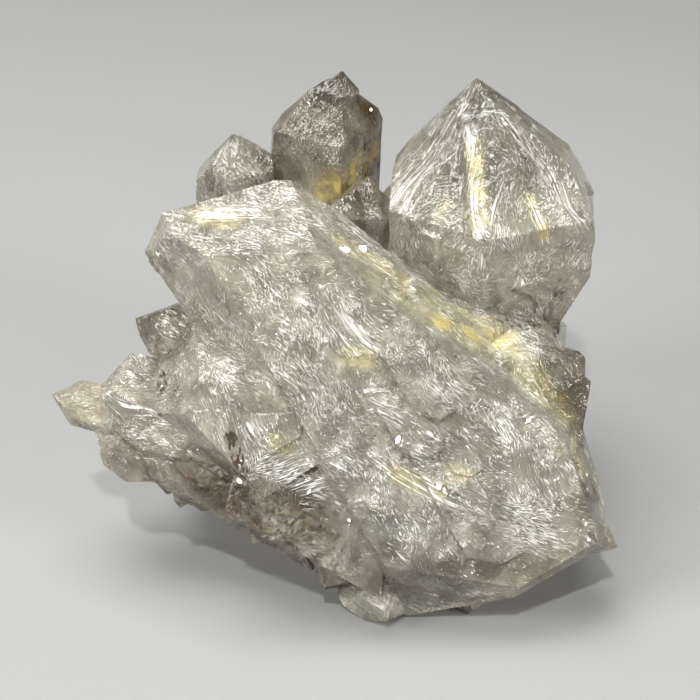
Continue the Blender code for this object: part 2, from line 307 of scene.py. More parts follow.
class Graph:
    """The shader nodes of one material, added and linked a step at a time."""

    def __init__(self, name: str) -> None:
        """Starts an empty material.

        Args:
            name: the material's name.
        """
        self.material = bpy.data.materials.new(name)
        self.material.use_nodes = True
        self.tree = self.material.node_tree
        self.tree.nodes.clear()

    def add(self, kind: str, inputs: dict | None = None, **settings) -> bpy.types.Node:
        """Adds a node.

        Args:
            kind: the node's type name without its "ShaderNode".
            inputs: a plain value or an output socket for each named input.
            settings: the node's own properties.

        Returns:
            The node.
        """
        node = self.tree.nodes.new("ShaderNode" + kind)
        for key, value in settings.items():
            setattr(node, key, value)
        for key, value in (inputs or {}).items():
            self.feed(node.inputs[key], value)
        return node

    def feed(self, socket: Socket, value: Value) -> None:
        """Links an output to an input, or sets the input's plain value.

        Args:
            socket: the input.
            value: an output socket, a number or a colour.
        """
        if isinstance(value, Socket):
            self.tree.links.new(value, socket)
        elif socket.type == "RGBA" and len(value) == 3:
            socket.default_value = (*value, 1.0)
        else:
            socket.default_value = value

    def calc(self, operation: str, *values: Value, clamp: bool = False) -> Socket:
        """Adds a Math node.

        Args:
            operation: its operation.
            values: its inputs in order.
            clamp: whether the result is kept from 0 to 1.

        Returns:
            The result.
        """
        inputs = dict(enumerate(values))
        return self.add("Math", inputs, operation=operation, use_clamp=clamp).outputs[0]

    def times(self, one: Value, other: Value, clamp: bool = False) -> Socket:
        """Multiplies two numbers."""
        return self.calc("MULTIPLY", one, other, clamp=clamp)

    def minus(self, whole: Value, part: Value, clamp: bool = False) -> Socket:
        """Takes the second number from the first."""
        return self.calc("SUBTRACT", whole, part, clamp=clamp)

    def larger(self, one: Value, other: Value) -> Socket:
        """Gives the larger of two numbers."""
        return self.calc("MAXIMUM", one, other)

    def vector(self, operation: str, *values: Value) -> Socket:
        """Adds a Vector Math node.

        Args:
            operation: its operation.
            values: its inputs in order. The last one is the factor for SCALE.

        Returns:
            The result.
        """
        if operation == "SCALE":
            inputs = {0: values[0], "Scale": values[1]}
        else:
            inputs = dict(enumerate(values))
        return self.add("VectorMath", inputs, operation=operation).outputs["Vector"]

    def place(self) -> Socket:
        """Gives the place on the object in millimetres."""
        coordinate = self.add("TexCoord").outputs["Object"]
        return self.vector("SCALE", coordinate, 1 / MM)

    def turn(self, where: Socket, angle: Value) -> Socket:
        """Turns the plane of each face.

        Args:
            where: the place in that plane.
            angle: the turn in radians.

        Returns:
            The turned place.
        """
        inputs = {"Vector": where, "Axis": (0, 0, 1), "Angle": angle}
        node = self.add("VectorRotate", inputs, rotation_type="AXIS_ANGLE")
        return node.outputs["Vector"]

    def noise(self, where: Socket, stretch: Pair, detail: float = 2.0,
              rough: float = 0.5) -> Socket:
        """Adds a noise in the plane of each face.

        Args:
            where: the place in that plane.
            stretch: features a millimetre, along and across.
            detail: its octaves after the first.
            rough: how strong those are.

        Returns:
            The noise, from 0 to 1.
        """
        scaled = self.vector("MULTIPLY", where, (*stretch, 1.0))
        inputs = {"Vector": scaled, "Scale": 1.0, "Detail": detail, "Roughness": rough}
        node = self.add("TexNoise", inputs, noise_dimensions="2D")
        return node.outputs["Fac"]

    def solid_noise(self, where: Socket, scale: float, detail: float = 2.0,
                    rough: float = 0.5) -> Socket:
        """Adds a noise in space.

        Args:
            where: the place.
            scale: features a millimetre.
            detail: its octaves after the first.
            rough: how strong those are.

        Returns:
            The noise, from 0 to 1.
        """
        inputs = {"Vector": where, "Scale": scale, "Detail": detail, "Roughness": rough}
        return self.add("TexNoise", inputs).outputs["Fac"]

    def cells(self, where: Socket,
              scale: float = 1.0) -> tuple[bpy.types.Node, tuple[Socket, ...]]:
        """Parts the plane of each face into cells.

        Args:
            where: the place in that plane.
            scale: cells a unit.

        Returns:
            The node, and three numbers a cell, each from 0 to 1.
        """
        node = self.add("TexVoronoi", {"Vector": where, "Scale": scale}, voronoi_dimensions="2D")
        parts = self.add("SeparateColor", {"Color": node.outputs["Color"]})
        return node, tuple(parts.outputs)

    def patches(self, where: Socket, scale: float) -> Socket:
        """Parts the plane of each face into patches, and gives one number a patch."""
        return self.cells(where, scale)[1][0]

    def needles(self, where: Socket, stretch: Pair, share: Value) -> Socket:
        """Scatters thin spindles over the plane of each face.

        Args:
            where: the place in that plane.
            stretch: spindles a millimetre, along and across.
            share: how many of the places for a spindle hold one, from 0 to 1.

        Returns:
            1 inside a spindle, and 0 between them.
        """
        node, (pick, size, _) = self.cells(self.vector("MULTIPLY", where, (*stretch, 1.0)))
        chosen = self.step(self.minus(share, pick), 0.0, 0.06)
        reach = self.between(self.times(size, size), 0.16, 0.52)
        away = self.calc("DIVIDE", node.outputs["Distance"], reach)
        spindle = self.times(self.step(away, 0.65, 1.0, 1.0, 0.0), chosen)
        return self.times(spindle, self.between(size, 0.35, 1.0))

    def shards(self, where: Socket, stretch: Pair) -> tuple[Socket, Socket]:
        """Breaks the plane of each face into flat pieces, each with its own lean.

        Args:
            where: the place in that plane.
            stretch: pieces a millimetre, along and across.

        Returns:
            The height, which rises by up to a half for one step along or across, and one number
            a piece, from 0 to 1.
        """
        scaled = self.vector("MULTIPLY", where, (*stretch, 1.0))
        node, (_, _, tone) = self.cells(scaled)
        off = self.vector("SUBTRACT", scaled, node.outputs["Position"])
        lean = self.vector("SUBTRACT", node.outputs["Color"], (0.5, 0.5, 0.5))
        flat = self.add("VectorMath", {0: off, 1: lean}, operation="DOT_PRODUCT")
        return flat.outputs["Value"], tone

    def step(self, value: Value, low: float, high: float, floor: float = 0.0,
             top: float = 1.0) -> Socket:
        """Turns a value into a smooth step.

        Args:
            value: the value.
            low: where the step starts.
            high: where it ends.
            floor: the result below low.
            top: the result above high.

        Returns:
            The stepped value.
        """
        inputs = {"Value": value, "From Min": low, "From Max": high, "To Min": floor, "To Max": top}
        return self.add("MapRange", inputs, interpolation_type="SMOOTHSTEP").outputs["Result"]

    def ridge(self, value: Socket, sharp: float) -> Socket:
        """Turns the middle of a noise into crests, the thinner the sharper it is."""
        off = self.calc("ABSOLUTE", self.minus(value, 0.5))
        return self.minus(1.0, self.times(off, sharp), clamp=True)

    def blend(self, amount: Value, under: Value, over: Value) -> Socket:
        """Mixes two colours, with more of the second the larger the amount, from 0 to 1."""
        inputs = {"Factor": amount, "A": under, "B": over}
        return self.add("Mix", inputs, data_type="RGBA").outputs["Result"]

    def between(self, amount: Value, under: Value, over: Value) -> Socket:
        """Mixes two numbers, with more of the second the larger the amount, from 0 to 1."""
        return self.add("Mix", {"Factor": amount, "A": under, "B": over}).outputs["Result"]

    def channels(self, name: str) -> tuple[Socket, ...]:
        """Reads a colour attribute of the mesh.

        Args:
            name: the attribute's name.

        Returns:
            Its four channels.
        """
        node = self.add("Attribute", attribute_name=name)
        parts = self.add("SeparateColor", {"Color": node.outputs["Color"]})
        return (*parts.outputs, node.outputs["Alpha"])

    def layers(self, *parts: tuple[Socket, Value]) -> Socket:
        """Adds up layers of relief.

        Args:
            parts: each layer's height, from 0 to 1, and what 1 is in millimetres.

        Returns:
            The whole height in millimetres.
        """
        total = 0.0
        for height, depth in parts:
            total = self.add("Math", {0: height, 1: depth, 2: total},
                             operation="MULTIPLY_ADD").outputs[0]
        return total

    def bump(self, height: Socket, depth: float) -> Socket:
        """Adds relief, and gives the bent normal. Depth is what a height of 1 is, in mm."""
        inputs = {"Height": height, "Distance": depth * MM, "Strength": 1.0}
        return self.add("Bump", inputs).outputs["Normal"]

    def finish(self, surface: Socket, volume: Socket | None = None) -> bpy.types.Material:
        """Ends the material.

        Args:
            surface: the shader of its surface.
            volume: the shader of what is inside it.

        Returns:
            The material.
        """
        output = self.add("OutputMaterial", {"Surface": surface})
        if volume is not None:
            self.feed(output.inputs["Volume"], volume)
        return self.material


class QuartzGraph(Graph):
    """The nodes of the quartz, with the zones and textures that several looks share."""

    def __init__(self, name: str, patch: float, swing: float, crossing: float) -> None:
        """Reads the mesh's attributes and lays the textures.

        Each patch of growth has its own lie, so the textures turn from patch to patch.

        Args:
            name: the material's name.
            patch: patches a millimetre.
            swing: the most that the lies of two patches differ by, in radians.
            crossing: the turn from the first lie to the second.
        """
        super().__init__(name)
        self.smoky, self.clear, self.rough, self.cream = self.channels("habit")
        self.brushed, iron, soot, self.silky_and_highlight = self.channels("marks")
        self.gather, self.cloud, rust, _ = self.channels("growth")
        self.flow = self.add("Attribute", attribute_name="grain").outputs["Vector"]
        lie = self.times(self.minus(self.patches(self.flow, patch), 0.5), swing)
        self.turned = self.turn(self.flow, lie)
        self.crossed = self.turn(self.turned, crossing)
        self.comb = self.noise(self.flow, (0.16, 1.25), 1.0, 0.65)
        self.tuft = self.noise(self.turned, (0.28, 1.7), 1.0, 0.65)
        self.fine = self.noise(self.turned, (0.55, 4.5), 1.0, 0.65)
        self.broken, self.pane = self.shards(self.turned, (0.26, 0.42))
        self.chipped, self.tone = self.shards(self.crossed, (1.1, 1.9))
        self.iron = self.times(iron, self.step(rust, 0.2, 0.8, 0.4, 1.0), clamp=True)
        self.soot = self.times(soot, self.step(self.tone, 0.3, 0.6, 0.1, 1.0), clamp=True)


@dataclass(frozen=True)
class QuartzFinish:
    """Milky to clear quartz with growth relief, silvery streaks and stains, painted sheen,
    highlights and glints in the streaks, and painted shade along the bottom edge.
    """

    milk: Triple = (0.62, 0.59, 0.485)
    haze: Triple = (0.46, 0.43, 0.345)
    # White of the streaks: partly the fractures' own white, partly painted sheen, highlights and
    # glints.
    silver_and_sheen: Triple = (0.97, 0.97, 0.92)
    # Smoky quartz brown, which also serves as painted shade along the bottom edge.
    smoke_and_shade: Triple = (0.105, 0.062, 0.02)
    iron: Triple = (0.67, 0.55, 0.17)
    bronze: Triple = (0.43, 0.31, 0.07)
    cream: Triple = (0.60, 0.53, 0.39)
    soot: Triple = (0.055, 0.04, 0.025)
    absorbed: Triple = (0.82, 0.79, 0.70)
    density: float = 25.0
    patch: float = 0.19
    swing: float = 2.0
    crossing: float = 1.05
    needle: float = 0.52

    def build(self, name: str) -> bpy.types.Material:
        """Makes the material.

        Args:
            name: its name.

        Returns:
            The material.
        """
        g = QuartzGraph(name, self.patch, self.swing, self.crossing)
        white = g.times(self.streaks(g), g.minus(1.0, g.times(g.smoky, 0.7)))
        dull = g.between(g.rough, g.step(g.cloud, 0.3, 0.7, 0.02, 0.08), 0.42)
        shader = g.add("BsdfPrincipled", {
            "Base Color": self.colour(g, white),
            "Roughness": g.calc("ADD", dull, g.times(white, 0.1)),
            "IOR": QUARTZ_IOR,
            "Transmission Weight": self.clearness(g, white),
            "Normal": g.bump(self.relief(g), 1.0),
        })
        volume = g.add("VolumeAbsorption", {"Color": self.absorbed, "Density": self.density})
        return g.finish(shader.outputs[0], volume.outputs[0])

    def streaks(self, g: QuartzGraph) -> Socket:
        """Lays the silvery streaks: needles, combed hairs, flecks, brushed and silky lines, and
        sparks.
        The streaks are partly the fractures' white and partly painted sheen; the silky lines on the
        ribs, one brushed patch and the sparks are painted highlights and glints.

        Args:
            g: the material's nodes.

        Returns:
            1 on a streak, and 0 between them.
        """
        short = g.needles(g.turned, (0.4, 3.4), g.step(g.gather, 0.54, 0.78, 0.05, 0.5))
        across = g.needles(g.crossed, (0.9, 3.4), g.step(g.gather, 0.5, 0.78, 0.08, 0.4))
        hair = g.step(g.ridge(g.comb, 30.0), 0.4, 0.9)
        hair = g.times(hair, g.step(g.gather, 0.56, 0.78))
        fleck = g.step(g.calc("ADD", g.comb, g.times(g.tuft, 0.6)), 1.0, 1.06)
        fleck = g.times(fleck, g.step(g.gather, 0.5, 0.68))
        combed = g.times(g.larger(hair, fleck), g.step(g.fine, 0.3, 0.55, 0.5, 1.0))
        # Brushed patches, one of them a painted highlight.
        brush = g.times(g.step(g.fine, 0.5, 0.66), g.brushed)
        thread = g.noise(g.flow, (0.06, 2.6), 1.0, 0.6)
        # Silky lines; on the ribs they are painted highlights.
        silk = g.times(g.step(thread, 0.5, 0.62), g.step(g.tuft, 0.34, 0.52, 0.25, 1.0))
        # Sparks: painted glints.
        spark = g.times(g.step(g.fine, 0.68, 0.74, 0.0, 0.6), g.step(g.gather, 0.3, 0.5))
        streak = g.larger(g.times(combed, 0.8), g.times(g.larger(short, across), self.needle))
        for more in (brush, g.times(silk, g.silky_and_highlight), spark):
            streak = g.larger(streak, more)
        return streak

    def colour(self, g: QuartzGraph, white: Socket) -> Socket:
        """Mixes the colour: milk, haze, the brown of smoky quartz with painted shade along the
        bottom edge, and cream, then grit, iron, the silvery streaks with painted sheen, highlights
        and glints, and soot.

        Args:
            g: the material's nodes.
            white: how streaked it is.

        Returns:
            The colour.
        """
        colour = g.blend(g.step(g.cloud, 0.2, 0.8), self.haze, self.milk)
        # Smoky brown; along the lower left and the bottom edge it is partly painted shade.
        smoke_and_shade = g.times(g.smoky, g.step(g.cloud, 0.2, 0.7, 1.0, 0.72))
        colour = g.blend(smoke_and_shade, colour, self.smoke_and_shade)
        cream = g.times(g.cream, g.step(g.tuft, 0.3, 0.6, 0.95, 0.5))
        colour = g.blend(cream, colour, self.cream)
        grit = g.between(g.tone, g.between(g.rough, 0.93, 0.42), g.between(g.rough, 1.07, 1.06))
        grit = g.times(grit, g.between(g.pane, 0.86, 1.12))
        grit = g.times(grit, g.step(g.fine, 0.3, 0.7, 0.84, 1.16))
        colour = g.vector("SCALE", colour, grit)
        colour = g.blend(g.iron, colour, g.blend(g.smoky, self.iron, self.bronze))
        # Silvery streaks, partly painted sheen, highlights and glints.
        colour = g.blend(white, colour, self.silver_and_sheen)
        return g.blend(g.soot, colour, self.soot)

    def clearness(self, g: QuartzGraph, white: Socket) -> Socket:
        """Tells how much light goes through: less where it is streaked, rough or stained.

        Args:
            g: the material's nodes.
            white: how streaked it is.

        Returns:
            The transmission.
        """
        through = g.between(g.clear, g.step(g.cloud, 0.2, 0.8, 0.75, 0.68), 0.94)
        for mark, loss in ((white, 0.5), (g.rough, 0.25), (g.iron, 0.3)):
            through = g.minus(through, g.times(mark, loss))
        return g.minus(through, g.times(g.soot, 0.6), clamp=True)

    def relief(self, g: QuartzGraph) -> Socket:
        """Adds up the relief: swells, combed growth, flat leaning shards and fine lines.

        Args:
            g: the material's nodes.

        Returns:
            The height in millimetres.
        """
        swell = g.noise(g.flow, (0.1, 0.22), 1.0)
        lively = g.times(g.step(g.gather, 0.42, 0.72, 0.3, 1.0), g.between(g.rough, 1.0, 0.3))
        combed = g.times(lively, g.layers((g.comb, 0.34), (g.tuft, 0.3)))
        return g.layers((swell, 0.4), (combed, 1.0), (g.fine, 0.1), (g.broken, 1.1),
                        (g.chipped, g.between(g.rough, 0.17, 0.4)))


@dataclass(frozen=True)
class VeilFinish:
    """A healed fracture: a thin silvery film full of tiny bubbles."""

    film: Triple = (0.96, 0.95, 0.92)
    tint: Triple = (0.80, 0.74, 0.60)
    ior: float = 1.3
    relief: float = 0.3

    def build(self, name: str) -> bpy.types.Material:
        """Makes the material.

        Args:
            name: its name.

        Returns:
            The material.
        """
        g = Graph(name)
        froth = g.solid_noise(g.place(), 0.9, 2.0, 0.7)
        colour = g.blend(g.step(froth, 0.35, 0.7), self.tint, self.film)
        shader = g.add("BsdfPrincipled", {
            "Base Color": colour,
            "Roughness": g.step(froth, 0.3, 0.7, 0.12, 0.4),
            "IOR": self.ior,
            "Transmission Weight": g.step(froth, 0.42, 0.6, 0.8, 0.1),
            "Normal": g.bump(froth, self.relief),
        })
        return g.finish(shader.outputs[0])


@dataclass
class CrystalBody:
    """The fused body of the cluster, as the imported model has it, with its zones marked."""

    node: str = "crystal_cluster"
    weld: float = 0.01
    flat_angle: float = 0.6
    grid: float = 1.25
    rounds: int = 9
    wobble: float = 0.10
    wobble_sizes: Pair = (5.0, 1.7)
    foot: float = 0.3
    cloud_sizes: Triple = (6.0, 4.5, 3.4)
    wander: float = 3.2
    wander_size: float = 12.0
    layer_shift: float = 5.3
    facet_angle: float = 9.0
    least_sweep: float = 0.15
    least_along: float = 0.2
    stretches: tuple[Stretch, ...] = tuple(
        Stretch(zone, *row) for zone, rows in STRETCHES.items() for row in rows)

    def build(self) -> bpy.types.Object:
        """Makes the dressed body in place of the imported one.

        Returns:
            The body.
        """
        mesh = bmesh.new()
        mesh.from_mesh(frame["nodes"][self.node].data)
        bmesh.ops.remove_doubles(mesh, verts=mesh.verts[:], dist=self.weld * MM)
        bmesh.ops.dissolve_limit(mesh, angle_limit=math.radians(self.flat_angle),
                                 verts=mesh.verts[:], edges=mesh.edges[:])
        facet = self.note_facets(mesh)
        self.refine(mesh)
        self.lay_grain(mesh, facet)
        for edge in mesh.edges:
            edge.smooth = not (len(edge.link_faces) == 2 and edge.link_faces[0][facet].angle(
                edge.link_faces[1][facet], 0.0) > math.radians(self.facet_angle))
        for face in mesh.faces:
            face.smooth = True
        self.wobble_faces(mesh)
        mesh.faces.layers.float_vector.remove(facet)
        body = make_object("quartz_body", mesh)
        self.mark_zones(body.data)
        body.data.materials.append(QuartzFinish().build("milky_quartz"))
        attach(body, "root")
        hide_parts(self.node)
        return body

    def note_facets(self, mesh: bmesh.types.BMesh) -> bmesh.types.BMLayerItem:
        """Notes the normal of each crystal face, which its parts keep when it is split.

        Args:
            mesh: the mesh.

        Returns:
            The layer that holds the normals.
        """
        facet = mesh.faces.layers.float_vector.new("facet")
        for face in mesh.faces:
            face[facet] = face.normal
        return facet

    def refine(self, mesh: bmesh.types.BMesh) -> None:
        """Splits long edges until the faces are small enough to carry relief and zones.

        Args:
            mesh: the body's mesh.
        """
        bmesh.ops.triangulate(mesh, faces=mesh.faces[:])
        for _ in range(self.rounds):
            long_edges = [e for e in mesh.edges if e.calc_length() > self.grid * MM]
            if not long_edges:
                break
            bmesh.ops.subdivide_edges(mesh, edges=long_edges, cuts=1)
            bmesh.ops.triangulate(mesh, faces=[f for f in mesh.faces if len(f.verts) > 3])

    def dress(self, mesh: bmesh.types.BMesh, name: str) -> bpy.types.Object:
        """Makes a piece of growth on the body, with the body's own grain and zones.

        Args:
            mesh: the piece's mesh.
            name: its name.

        Returns:
            The piece.
        """
        facet = self.note_facets(mesh)
        self.lay_grain(mesh, facet)
        mesh.faces.layers.float_vector.remove(facet)
        piece = make_object(name, mesh)
        self.mark_zones(piece.data)
        return piece

    def lay_grain(self, mesh: bmesh.types.BMesh, facet: bmesh.types.BMLayerItem) -> None:
        """Gives every corner its place along, across and into the growth of its face.

        Args:
            mesh: the body's mesh.
            facet: the layer that holds the normal of each face's crystal face.
        """
        grain = mesh.loops.layers.float_vector.new("grain")
        middles = np.array([face.calc_center_median()[:] for face in mesh.faces]) / MM
        silky_and_highlight = [stretch for stretch in self.stretches if stretch.zone is Zone.SILKY_AND_HIGHLIGHT]
        held = np.array([stretch.weight(middles) for stretch in silky_and_highlight])
        sweeps = [silky_and_highlight[number] if weight > self.least_sweep else None
                  for number, weight in zip(held.argmax(axis=0), held.max(axis=0))]
        wander = {v: noise.noise_vector(v.co / (self.wander_size * MM)) * self.wander
                  for v in mesh.verts}
        for face, sweep in zip(mesh.faces, sweeps):
            normal = face[facet].normalized()
            middle = face.calc_center_median() / MM
            host = nearest_crystal(middle)
            growth = Vector(host.growth)
            if sweep:
                growth = (Vector(sweep.end) - Vector(sweep.start)).normalized()
            along = growth - normal * growth.dot(normal)
            if along.length < self.least_along:
                along = normal.orthogonal()
            along.normalize()
            across = normal.cross(along)
            for loop in face.loops:
                place = loop.vert.co / MM - Vector(host.centre)
                drift = wander[loop.vert]
                shift = place.dot(normal) * self.layer_shift
                loop[grain] = (place.dot(along) + drift.x + shift, place.dot(across) + drift.y, 0)

    def wobble_faces(self, mesh: bmesh.types.BMesh) -> None:
        """Takes the faces a little out of flat, as grown faces are, apart from the foot.

        Args:
            mesh: the body's mesh.
        """
        places = np.array([vert.co[:] for vert in mesh.verts]) / MM
        raised = self.layer("relief", places)[:, 0]
        normals = [vert.normal.copy() for vert in mesh.verts]
        for vert, normal, lift in zip(mesh.verts, normals, raised):
            if vert.co.z > self.foot * MM:
                coarse, small = self.wobble_sizes
                vert.co += noise.noise_vector(vert.co / (coarse * MM)) * self.wobble * MM
                vert.co += noise.noise_vector(vert.co / (small * MM)) * self.wobble * 0.5 * MM
                vert.co += normal * float(lift) * MM

    def mark_zones(self, data: bpy.types.Mesh) -> None:
        """Writes the habit, marks and growth attributes.

        Growth holds how the streaks gather, the milkiness and the rust, each a cloudy field. The
        streaked stretches add to the first of them or take from it.

        Args:
            data: the body's mesh.
        """
        places = vertex_places(data)
        habit = self.layer("habit", places)
        marks = self.layer("marks", places)
        growth = self.layer("growth", places)
        for channel, size in enumerate(self.cloud_sizes):
            growth[:, channel] += [
                0.5 + 0.5 * noise.fractal(Vector(place) / size + Vector((9.0 * size, 3, 0)), 0.7,
                                          2.0, 3)
                for place in places.tolist()
            ]
        for name, values in (("habit", habit), ("marks", marks), ("growth", growth)):
            attribute = data.attributes.new(name, "FLOAT_COLOR", "POINT")
            attribute.data.foreach_set("color", values.astype(np.float32).ravel())

    def layer(self, name: str, places: np.ndarray) -> np.ndarray:
        """Adds up the stretches of one attribute.

        Args:
            name: the attribute.
            places: the points in millimetres, one a row.

        Returns:
            Four channels a point. Stretches of one zone overlap without adding up, apart from
            those that only shift the growth.
        """
        values = np.zeros((len(places), 4))
        for stretch in self.stretches:
            layer, channel = stretch.zone.value
            if layer == name and name in ("growth", "relief"):
                values[:, channel] += stretch.weight(places)
            elif layer == name:
                values[:, channel] = np.maximum(values[:, channel], stretch.weight(places))
        return values


def vertex_places(data: bpy.types.Mesh) -> np.ndarray:
    """Gives the places of a mesh's vertices.

    Args:
        data: the mesh.

    Returns:
        The places in millimetres, one a row.
    """
    places = np.empty(len(data.vertices) * 3, np.float32)
    data.vertices.foreach_get("co", places)
    return places.reshape(-1, 3) / MM


def make_object(name: str, mesh: bmesh.types.BMesh) -> bpy.types.Object:
    """Turns a bmesh into an object of the scene.

    Args:
        name: the object's name.
        mesh: its mesh, which is freed.

    Returns:
        The object.
    """
    data = bpy.data.meshes.new(name)
    mesh.to_mesh(data)
    mesh.free()
    made = bpy.data.objects.new(name, data)
    bpy.context.scene.collection.objects.link(made)
    return made


def stand_out(tree: BVHTree, place: Vector) -> float:
    """Tells how far a place stands out of the body.

    Args:
        tree: the body's faces.
        place: the place.

    Returns:
        The distance to the nearest face, which is less than 0 inside the body.
    """
    face, normal, _, distance = tree.find_nearest(place)
    return distance if (place - face).dot(normal) > 0 else -distance


def tilt(first: float, second: float) -> Matrix:
    """Gives a turn about X by the first angle, after one about Y by the second."""
    return Matrix.Rotation(first, 3, "X") @ Matrix.Rotation(second, 3, "Y")


def spin(rng: random.Random) -> Matrix:
    """Gives a random turn about Z."""
    return Matrix.Rotation(rng.uniform(0, math.tau), 3, "Z")


@dataclass
class GrowthPlates:
    """Small six-sided plates of late growth on the crystal faces, all close to parallel."""

    count: int = 260
    lowest: float = 4.0
    radius: Pair = (0.5, 1.7)
    top: Pair = (0.7, 0.92)
    stretch: Pair = (1.2, 2.6)
    proud: Pair = (0.1, 0.3)
    lean: float = 0.08
    loose: float = 0.5

    def build(self, body: bpy.types.Object, cluster: CrystalBody) -> bpy.types.Object:
        """Makes all the plates as one piece on the body.

        Args:
            body: the cluster's body.
            cluster: what the body was built from, which gives the plates their grain and zones.

        Returns:
            The piece.
        """
        rng = random.Random(SEED + 1)
        faces = [f for f in body.data.polygons if f.center.z > self.lowest * MM]
        picks = rng.choices(faces, weights=[f.area for f in faces], k=self.count)
        tree = BVHTree.FromObject(body, bpy.context.evaluated_depsgraph_get())
        mesh = bmesh.new()
        for face in picks:
            self.add_plate(mesh, tree, face.center / MM, face.normal, rng)
        plates = cluster.dress(mesh, "growth_plates")
        plates.data.materials.append(body.data.materials[0])
        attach(plates, "root")
        return plates

    def add_plate(self, mesh: bmesh.types.BMesh, tree: BVHTree, spot: Vector, normal: Vector,
                  rng: random.Random) -> None:
        """Adds one plate, unless it would stand out past the edge of its face.

        Args:
            mesh: the piece's mesh.
            tree: the body's faces.
            spot: its middle on the face, in millimetres.
            normal: the face's outward normal.
            rng: the source of its unevenness.
        """
        radius = rng.uniform(*self.radius)
        proud = rng.uniform(*self.proud)
        plate = bmesh.ops.create_cone(mesh, cap_ends=True, segments=6, radius1=radius,
                                      radius2=radius * rng.uniform(*self.top), depth=3 * proud)
        host = nearest_crystal(spot)
        growth = Vector(host.growth)
        along = growth - normal * normal.dot(growth)
        turn = Matrix((along, normal.cross(along), normal)).transposed()
        for column in range(3):
            turn.col[column].normalize()
        shape = Matrix.Diagonal((rng.uniform(*self.stretch), 1.0, 1.0))
        lean = tilt(rng.gauss(0, self.lean), rng.gauss(0, self.lean))
        for vert in plate["verts"]:
            vert.co = (spot - normal * proud * 0.5 + turn @ (lean @ (shape @ vert.co))) * MM
        if any(stand_out(tree, vert.co) > self.loose * MM for vert in plate["verts"]):
            bmesh.ops.delete(mesh, geom=plate["verts"], context="VERTS")


def aim(thing: bpy.types.Object, place: Triple, target: Triple) -> None:
    """Puts a light or the camera in its place, turned to its target.

    Args:
        thing: the light or the camera.
        place: its place in millimetres.
        target: what it looks at, in millimetres.
    """
    thing.location = Vector(place) * MM
    way = Vector(target) - Vector(place)
    thing.rotation_euler = way.to_track_quat("-Z", "Y").to_euler()
    bpy.context.scene.collection.objects.link(thing)


@dataclass(frozen=True)
class SoftBox:
    """A square light: its place, what it faces, its side, and its power in watts."""

    name: str
    place: Triple
    target: Triple
    size: float
    power: float

    def build(self) -> None:
        """Hangs the light."""
        data = bpy.data.lights.new(self.name, "AREA")
        data.size = self.size * MM
        data.energy = self.power
        aim(bpy.data.objects.new(self.name, data), self.place, self.target)


@dataclass
class Studio:
    """A plain pale floor, soft lights and the camera."""

    floor_colour: Triple = (0.215, 0.215, 0.21)
    floor_cloud: Triple = (0.26, 0.26, 0.26)
    floor_size: float = 4.0
    sky: Triple = (0.86, 0.85, 0.83)
    sky_strength: float = 0.13
    lens_angle: float = 28.0
    camera_place: Triple = (3.58, -247.23, 182.40)
    camera_target: Triple = (3.58, -8.39, 44.5)
    boxes: tuple[SoftBox, ...] = (
        SoftBox("overhead", (-200, 120, 1100), (0, 0, 40), 700, 19.0),
        SoftBox("left", (-1100, -500, 700), (0, 0, 40), 520, 19.5),
        SoftBox("right", (1000, -700, 640), (0, 0, 40), 460, 13.5),
    )
    lamp: SoftBox = SoftBox("lamp", (-60, -500, 760), (0, -10, 50), 40, 5.5)

    def build(self) -> None:
        """Builds the floor, the lights and the camera."""
        bpy.context.scene.view_settings.view_transform = "Standard"
        self.add_floor()
        self.add_world()
        self.add_camera()
        for box in (*self.boxes, self.lamp):
            box.build()

    def add_floor(self) -> None:
        """Lays a wide floor that the cluster stands on."""
        mesh = bmesh.new()
        bmesh.ops.create_grid(mesh, x_segments=1, y_segments=1, size=self.floor_size)
        floor = make_object("studio_floor", mesh)
        g = Graph("studio_floor")
        tone = g.solid_noise(g.place(), 0.02)
        colour = g.blend(g.step(tone, 0.3, 0.7, 0.0, 0.06), self.floor_colour, self.floor_cloud)
        shader = g.add("BsdfPrincipled", {"Base Color": colour, "Roughness": 0.7})
        floor.data.materials.append(g.finish(shader.outputs[0]))

    def add_world(self) -> None:
        """Surrounds the scene with a soft warm grey."""
        world = bpy.data.worlds.new("studio")
        bpy.context.scene.world = world
        world.use_nodes = True
        background = world.node_tree.nodes["Background"]
        background.inputs["Color"].default_value = (*self.sky, 1)
        background.inputs["Strength"].default_value = self.sky_strength

    def add_camera(self) -> None:
        """Sets the camera."""
        lens = bpy.data.cameras.new("camera")
        lens.angle = math.radians(self.lens_angle)
        camera = bpy.data.objects.new("camera", lens)
        aim(camera, self.camera_place, self.camera_target)
        bpy.context.scene.camera = camera


@dataclass(frozen=True)
class ClearFinish:
    """The clear, polished quartz of the end of a small crystal."""

    clear: Triple = (0.84, 0.83, 0.76)
    dim: Triple = (0.66, 0.64, 0.56)
    transmission: float = 0.9
    relief: float = 0.03

    def build(self, name: str) -> bpy.types.Material:
        """Makes the material.

        Args:
            name: its name.

        Returns:
            The material.
        """
        g = Graph(name)
        grow = g.solid_noise(g.place(), 0.8, 1.0)
        shader = g.add("BsdfPrincipled", {
            "Base Color": g.blend(g.step(grow, 0.3, 0.7), self.dim, self.clear),
            "Roughness": g.step(grow, 0.3, 0.7, 0.02, 0.08),
            "IOR": QUARTZ_IOR,
            "Transmission Weight": self.transmission,
            "Normal": g.bump(grow, self.relief),
        })
        return g.finish(shader.outputs[0])


